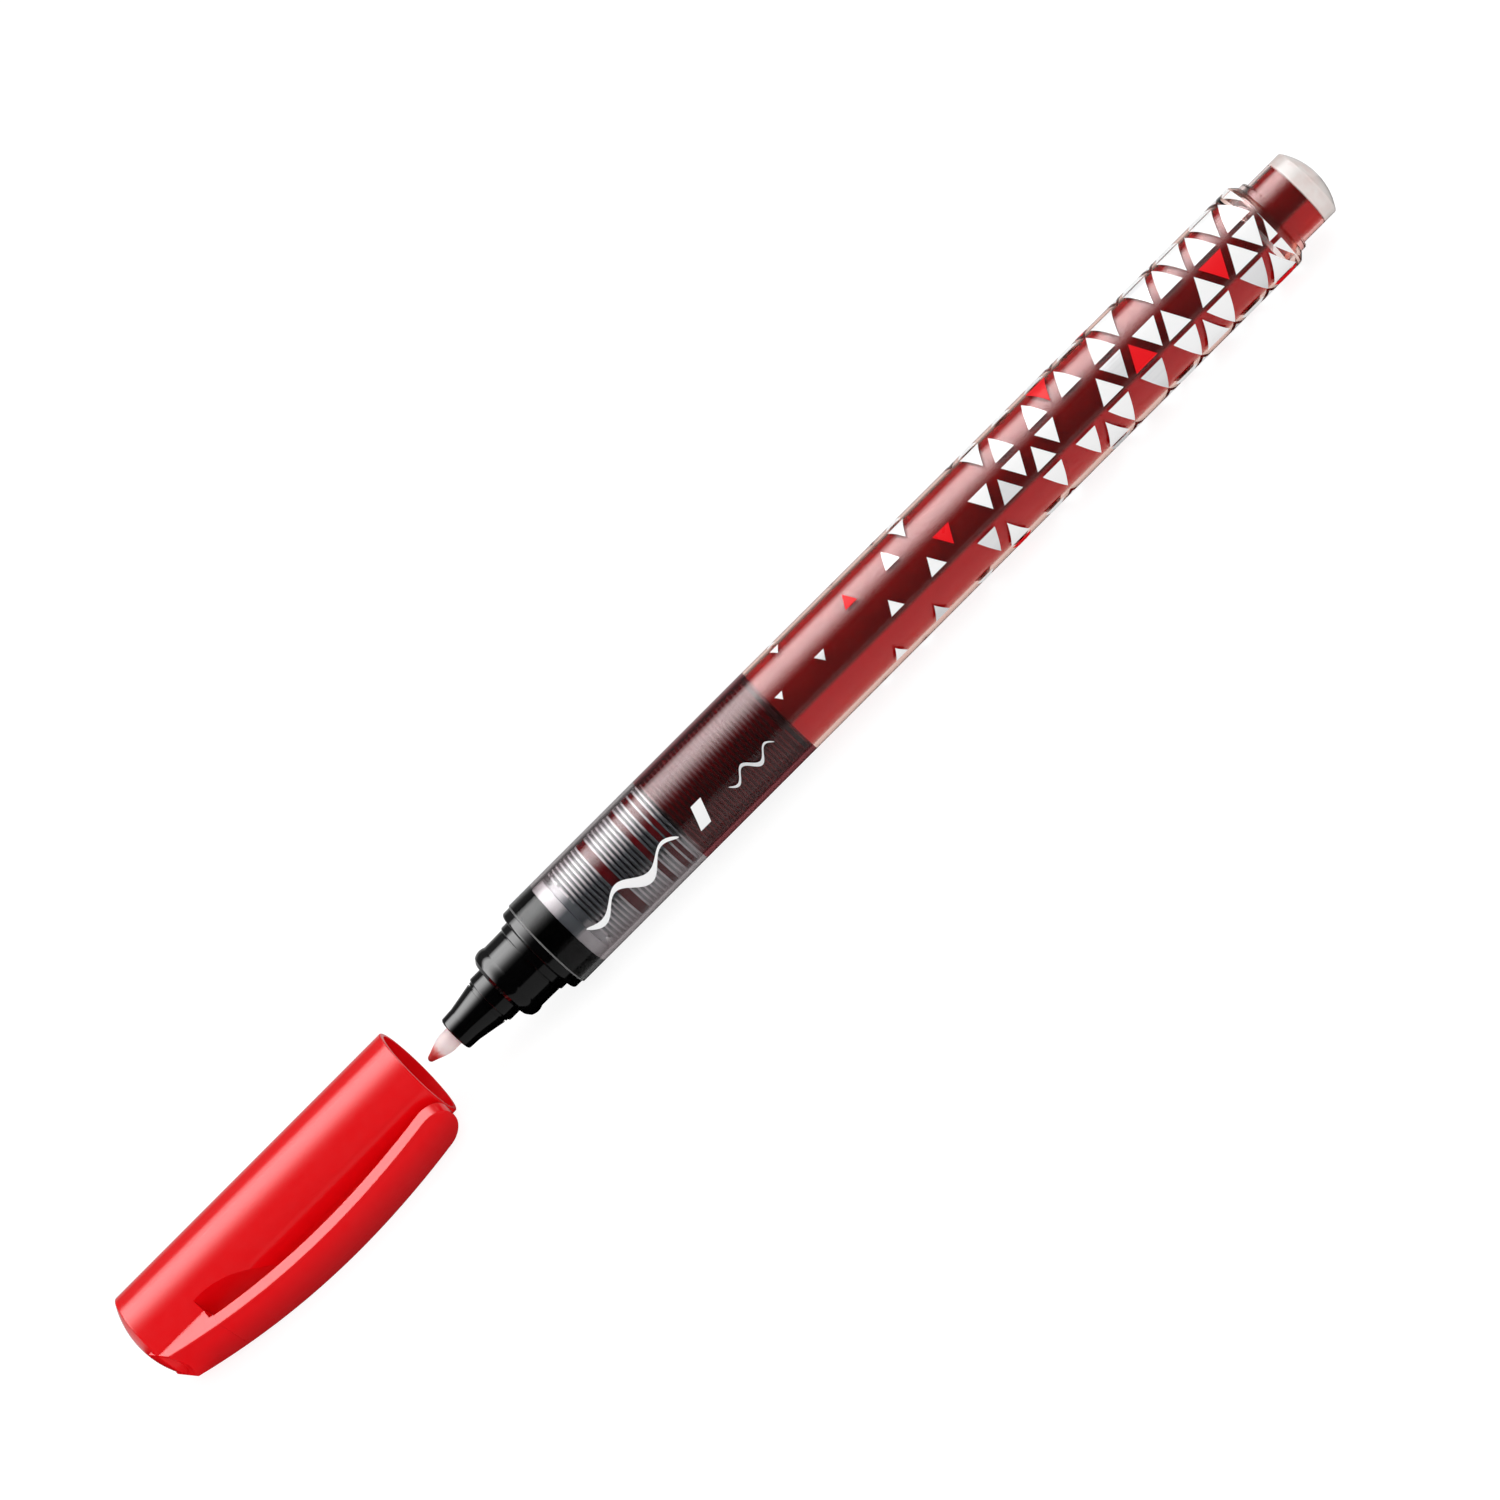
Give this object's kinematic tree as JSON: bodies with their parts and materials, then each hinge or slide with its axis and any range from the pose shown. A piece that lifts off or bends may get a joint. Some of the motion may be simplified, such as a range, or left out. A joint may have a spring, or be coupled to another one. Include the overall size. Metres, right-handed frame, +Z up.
{
  "type": "fibre-tip pen",
  "caption": "Free-ink fibre-tip pen with a clear barrel, finned ink collector, ringed black grip, and a pull-off red cap with a springy pocket clip, lying uncapped in line with the pen.",
  "frame": {"origin": "on the pen's axis, 30 mm behind the nib's tip, inside the straight front length of the barrel", "axes": "+X along the pen's axis from the cap towards the tail, +Z up from the surface that the pen lies on; the clip points to the -Y side and downwards"},
  "size_m": [0.1557, 0.0139, 0.0103],
  "materials": {
    "clear_barrel": "clear moulded polycarbonate, polished",
    "clear_plug": "clear moulded plastic, slightly milky",
    "ink": "dark red liquid",
    "collector_plastic": "grey translucent moulding",
    "seal_rubber": "soft matt",
    "fibre_feed": "bonded fibre soaked with red ink",
    "black_plastic": "polished",
    "fibre_nib": "bonded fibre, pale with a red point",
    "red_plastic": "polished",
    "liner_plastic": "natural polyethylene",
    "white_print": "opaque white print",
    "silver_foil": "hot-stamped foil",
    "red_print": "opaque red print"
  },
  "bodies": {
    "pen": {"barrel": "clear_barrel", "tail_plug": "clear_plug", "ink_reservoir": "ink", "collector": "collector_plastic", "collector_ink": "ink", "collector_seal": "seal_rubber", "feed_rod": "fibre_feed", "front_section": "black_plastic", "nose_cone": "black_plastic", "nib": "fibre_nib"},
    "cap": {"cap_shell": "red_plastic", "inner_cap": "liner_plastic"},
    "clip": {"cap_clip": "red_plastic"}
  },
  "joints": [
    {"name": "cap_slide", "type": "slide", "parent": "pen", "child": "cap", "axis": [1, 0, 0], "range_m": [0, 0.0159]},
    {"name": "clip_flex", "type": "hinge", "parent": "cap", "child": "clip", "pos_m": [-0.0604, -0.00652, -0.00239], "axis": [0, 0.3437, -0.9391], "range_deg": [0, 4], "stiffness_Nm_per_rad": 1}
  ]
}
